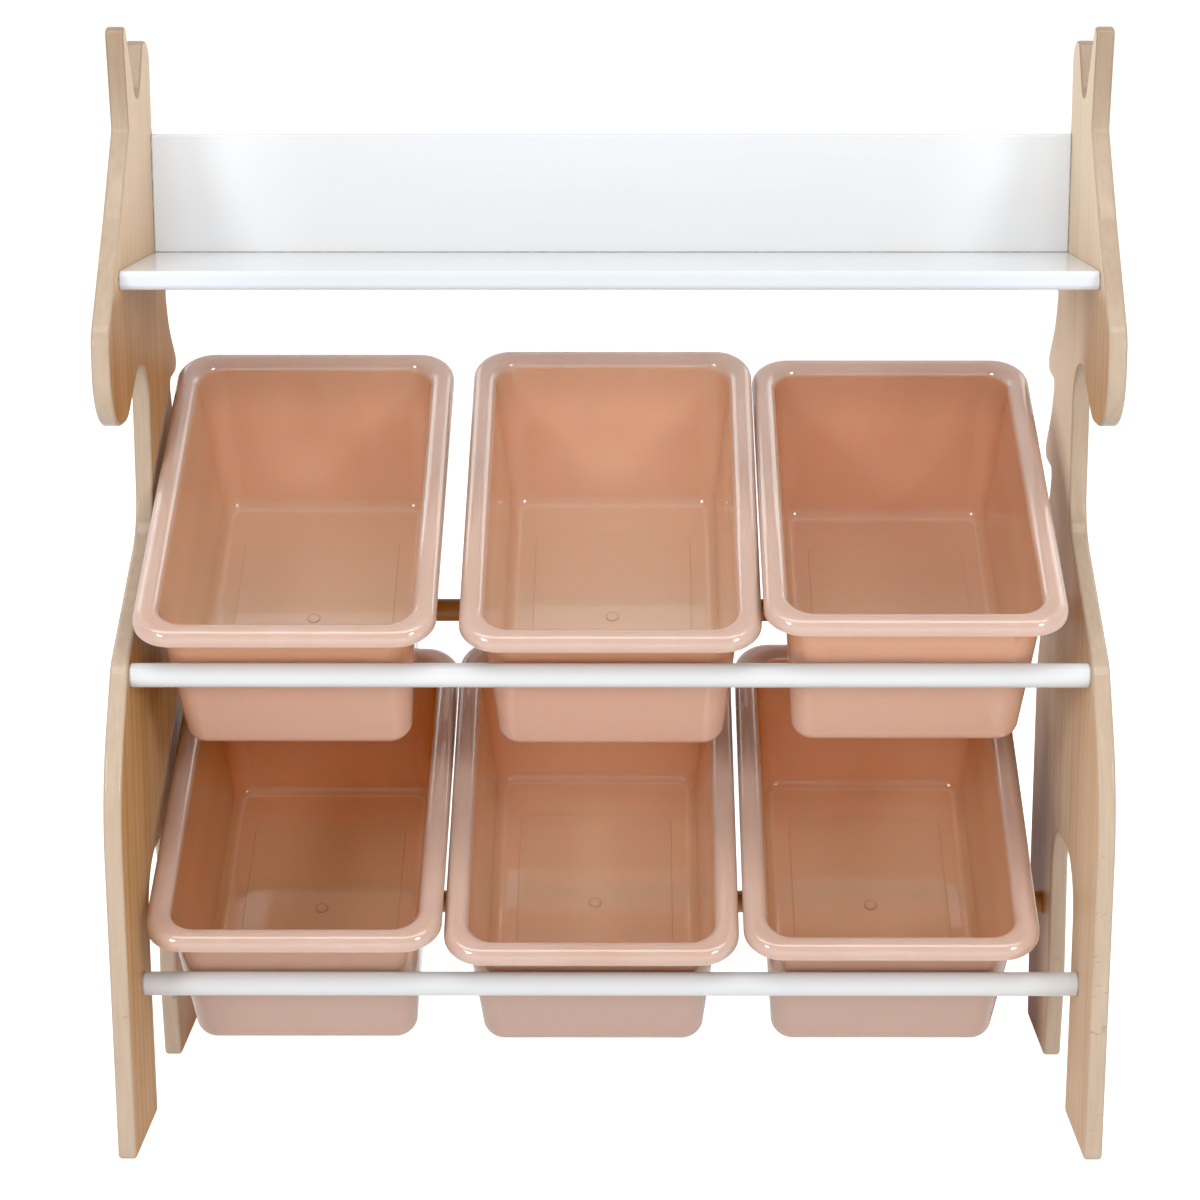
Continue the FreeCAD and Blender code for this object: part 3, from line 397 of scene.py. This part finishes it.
# inner-face tones: the wood's grain with painted shade on the left panel and painted light on the right; OUTER is the
# wood's own tone on the outer faces
FACE_LEFT_GRAIN_AND_SHADE = (lin(174, 128, 82), lin(194, 154, 110), lin(206, 172, 132))
FACE_RIGHT_GRAIN_AND_LIGHT = (lin(196, 157, 117), lin(212, 181, 147), lin(222, 197, 166))
OUTER = (lin(188, 146, 104), lin(205, 171, 133), lin(216, 188, 154))
EDGE = (lin(169, 147, 126), lin(178, 158, 138), lin(185, 167, 148))
panel_l = wood("lacquered_wood_left_painted_shading", "Z", FACE_LEFT_GRAIN_AND_SHADE, EDGE, seed=0.0, scuffs=True, inner=1.0)
panel_r = wood("lacquered_wood_right_painted_shading", "Z", FACE_RIGHT_GRAIN_AND_LIGHT, EDGE, seed=2.7, scuffs=True, inner=-1.0)
rail_wood = wood("rail_wood", "X", (lin(150, 104, 70), lin(176, 129, 90), lin(194, 150, 110)), coat=0.35,
                 coat_rough=0.2, seed=5.1)
dowel_wood = wood("dowel_wood", "X", (lin(176, 136, 96), lin(200, 162, 120), lin(214, 180, 140)), coat=0.0,
                  seed=9.0)
# tone_shift makes each copy of the white lacquer lighter or darker, painted light and shade: the shelf lightest, the
# board darkest
shelf_white = white_lacquer("white_lacquer_shelf_painted_shading", joints=(("X", 0.313, 0.0014, 0.85, True), ("Y", 0.03796, 0.0010, 0.75, False)), tone_shift=9, coat=0.6, front_shade=lin(228, 230, 235), painted_light_ends=lin(224, 228, 232))
board_white = white_lacquer("white_lacquer_board_painted_shading", joints=(("X", 0.313, 0.0014, 0.85, True), ("Z", 0.5813, 0.0010, 0.75, False)), tone_shift=-2, painted_light_ends=lin(214, 218, 222), last_y=0.044)
rod_white = white_lacquer("white_lacquer_rod", joints=(("X", 0.313, 0.0016, 0.70, True), ("X", 0.311, 0.0055, 0.05, True)), tone_shift=2)
screw_steel = steel("screw_steel")


def give(node, mat):
    o = nodes[node]
    if not o.data.materials:
        o.data.materials.append(mat)
    for s in o.material_slots:
        s.material = mat


give("left_side_panel", panel_l)
give("right_side_panel", panel_r)
for n in ("upper_front_rail", "lower_front_rail"):
    give(n, rod_white)
for n in ("upper_rear_rail", "lower_rear_rail"):
    give(n, rail_wood)
give("top_shelf", shelf_white)
give("shelf_back_board", board_white)
for n in ("rail_screws", "shelf_screws", "back_board_screws", "shelf_to_board_screws"):
    give(n, screw_steel)
for n in ("shelf_dowels", "back_board_dowels"):
    give(n, dowel_wood)
BINS = ("upper_left_bin", "upper_middle_bin", "upper_right_bin", "lower_left_bin", "lower_middle_bin", "lower_right_bin")
TILT = {"upper_left_bin": 30.8, "upper_middle_bin": 32.2, "upper_right_bin": 27.9,
        "lower_left_bin": 28.2, "lower_middle_bin": 32.2, "lower_right_bin": 30.5}


def mouth(node):
    """A point in the middle of a bin's mouth, 10 mm under the rim, the bin's own back and up, and its floor's level."""
    o = nodes[node]
    co = np.empty(3 * len(o.data.vertices))
    o.data.vertices.foreach_get("co", co)
    co = co.reshape(-1, 3)
    t = math.radians(TILT[node])
    along, up = np.array([0, math.cos(t), math.sin(t)]), np.array([0, -math.sin(t), math.cos(t)])
    d, h = co @ along, co @ up
    mid = along * (d.min() + d.max()) / 2.0 + up * (h.max() - 0.010)
    mid[0] = (co[:, 0].min() + co[:, 0].max()) / 2.0
    floor_depth = float(h.min() + 0.0024 - (h.max() - 0.010))
    return (*(tuple(float(c) for c in v) for v in (mid, along, up)), floor_depth)


# inside colour of each bin: the plastic's pink with painted shade, darker in the more shaded bins
DEEP_TONE_AND_SHADE = {"upper_left_bin": (214, 180, 154), "upper_middle_bin": (217, 184, 159), "upper_right_bin": (208, 168, 141),
        "lower_left_bin": (204, 159, 123), "lower_middle_bin": (217, 181, 152), "lower_right_bin": (215, 177, 146)}
# per bin: inside colour, outside tone below the rim, darker on the lower bins as painted shade, and the strength of the
# painted shade under the rim
for i, n in enumerate(BINS):
    give(n, plastic("pink_plastic_painted_shading_%d" % (i + 1), 1.7 * i, *mouth(n), DEEP_TONE_AND_SHADE[n], lin(206, 174, 157) if i < 3 else lin(188, 160, 146), 0.8 if i < 3 else 0.4))


# ---------------------------------------------------------------- floor

def disc_mesh(name, radius, rings=24, spokes=64, power=3.0):
    verts, faces = [(0.0, 0.0, 0.0)], []
    for r in range(1, rings + 1):
        rad = radius * (r / rings) ** power
        for s in range(spokes):
            a = 2 * math.pi * s / spokes
            verts.append((rad * math.cos(a), rad * math.sin(a), 0.0))
    for s in range(spokes):
        faces.append((0, 1 + s, 1 + (s + 1) % spokes))
    for r in range(1, rings):
        a, b = 1 + (r - 1) * spokes, 1 + r * spokes
        for s in range(spokes):
            t = (s + 1) % spokes
            faces.append((a + s, b + s, b + t, a + t))
    me = bpy.data.meshes.new(name)
    me.from_pydata(verts, [], faces)
    me.update()
    return me


def dome_mesh(name, radius, rings=16, spokes=64):
    verts, faces = [], []
    for r in range(rings):
        e = math.radians(-8 + 98 * r / rings)
        for s in range(spokes):
            a = 2 * math.pi * s / spokes
            verts.append((radius * math.cos(e) * math.cos(a), radius * math.cos(e) * math.sin(a), radius * math.sin(e)))
    verts.append((0.0, 0.0, radius))
    for r in range(rings - 1):
        for s in range(spokes):
            t = (s + 1) % spokes
            faces.append((r * spokes + s, r * spokes + t, (r + 1) * spokes + t, (r + 1) * spokes + s))
    for s in range(spokes):
        faces.append(((rings - 1) * spokes + s, (rings - 1) * spokes + (s + 1) % spokes, len(verts) - 1))
    me = bpy.data.meshes.new(name)
    me.from_pydata(verts, [], faces)
    me.update()
    return me


def pale(name, albedo, glow):
    """Matt pale paper with a faint unevenness."""
    m = Mat(name)
    f = m.noise(m.mapping((0.8, 0.8, 0.8)), 1.0, 3.0, 0.5)
    lo, hi = albedo * 0.97, albedo * 1.03
    m.to("Base Color", m.ramp(m.map(f, 0.3, 0.7), [(0.0, (lo, lo, lo, 1)), (1.0, (hi, hi, hi, 1))]))
    m.set(Roughness=0.9, Specular_IOR_Level=0.0, Emission_Color=(1, 1, 1, 1), Emission_Strength=glow)
    return m.m


def seen_only(o):
    """Seen by the camera alone: it lights nothing and shows in no reflection."""
    o.visible_diffuse = o.visible_glossy = o.visible_transmission = o.visible_shadow = o.visible_volume_scatter = False


floor = bpy.data.objects.new("studio_floor", disc_mesh("studio_floor", 38.0))
floor.location.z = -0.0004
floor.data.materials.append(pale("studio_floor", FLOOR_ALBEDO, FLOOR_GLOW))
seen_only(floor)
bounce = bpy.data.objects.new("studio_bounce", disc_mesh("studio_bounce", 38.0))
bounce.location.z = -0.0012
bounce.data.materials.append(pale("studio_bounce", BOUNCE_ALBEDO, BOUNCE_GLOW))
bounce.visible_camera = False
backdrop = bpy.data.objects.new("studio_backdrop", dome_mesh("studio_backdrop", 40.0))
backdrop.data.materials.append(pale("studio_backdrop", 0.1, 1.05))
seen_only(backdrop)
for o in (floor, bounce, backdrop):
    scene.collection.objects.link(o)


# ---------------------------------------------------------------- light

world = bpy.data.worlds.new("studio")
scene.world = world
world.use_nodes = True
bg = world.node_tree.nodes["Background"]
bg.inputs["Color"].default_value = (1.0, 1.0, 1.0, 1.0)
sky = world.node_tree.nodes.new("ShaderNodeTexCoord")
part_y = world.node_tree.nodes.new("ShaderNodeSeparateXYZ")
level = world.node_tree.nodes.new("ShaderNodeMapRange")
level.interpolation_type = "SMOOTHSTEP"
level.inputs["From Min"].default_value, level.inputs["From Max"].default_value = -0.35, 0.55
level.inputs["To Min"].default_value, level.inputs["To Max"].default_value = WORLD_FRONT, WORLD_BACK
world.node_tree.links.new(sky.outputs["Generated"], part_y.inputs[0])
world.node_tree.links.new(part_y.outputs["Y"], level.inputs["Value"])
world.node_tree.links.new(level.outputs["Result"], bg.inputs["Strength"])


def softbox(name, loc, target, w, h, power, color=(1, 1, 1)):
    d = bpy.data.lights.new(name, "AREA")
    d.shape = "RECTANGLE"
    d.size, d.size_y = w, h
    d.energy = power
    d.color = color
    o = bpy.data.objects.new(name, d)
    o.location = loc
    o.rotation_mode = "QUATERNION"
    o.rotation_quaternion = (Vector(target) - Vector(loc)).to_track_quat("-Z", "Y")
    o.visible_camera = False
    scene.collection.objects.link(o)
    return o


softbox("softbox_left", (-1.3, -2.0, 1.2), (0, 0, 0.40), 0.5, 0.75, 1.10 * SIDE_POWER)
softbox("softbox_right", (1.3, -2.0, 1.2), (0, 0, 0.40), 0.5, 0.75, 1.05 * SIDE_POWER)
softbox("softbox_front", (0.0, -2.5, 0.95), (0, 0, 0.35), 1.6, 1.0, FRONT_POWER).visible_glossy = False
softbox("softbox_back_left", (-1.25, 0.95, 1.75), (0, 0.0, 0.40), 0.8, 1.0, BACK_POWER)
softbox("softbox_back_right", (1.25, 0.95, 1.75), (0, 0.0, 0.40), 0.8, 1.0, BACK_POWER)
softbox("softbox_top", (0.0, -1.0, 2.2), (0, 0.0, 0.4), 3.0, 0.7, TOP_POWER)


# ---------------------------------------------------------------- camera

def camera():
    p, y, r = 0.20785, -0.00311, -0.00029
    m = np.array([[1, 0, 0], [0, -math.sin(p), -math.cos(p)], [0, math.cos(p), -math.sin(p)]])
    m = m @ np.array([[math.cos(y), -math.sin(y), 0], [math.sin(y), math.cos(y), 0], [0, 0, 1]])
    m = np.array([[math.cos(r), -math.sin(r), 0], [math.sin(r), math.cos(r), 0], [0, 0, 1]]) @ m
    right, down, fwd = m
    rot = Matrix((right, -down, -fwd)).transposed()
    d = bpy.data.cameras.new("camera")
    d.sensor_fit = "HORIZONTAL"
    d.sensor_width = 36.0
    d.lens = 36.0 * 2860.784 / 1200.0
    d.shift_x = -27.157 / 1200.0
    d.shift_y = 0.213 / 1200.0
    d.clip_start, d.clip_end = 0.05, 200.0
    o = bpy.data.objects.new("camera", d)
    o.matrix_world = Matrix.Translation((0.016995, -1.927942, 0.752432)) @ rot.to_4x4()
    scene.collection.objects.link(o)
    scene.camera = o


camera()
scene.view_settings.view_transform = "Standard"
scene.view_settings.look = "None"
scene.view_settings.use_curve_mapping = True
scene.view_settings.curve_mapping.black_level = (BLACK_LEVEL, BLACK_LEVEL, BLACK_LEVEL)
scene.view_settings.curve_mapping.update()
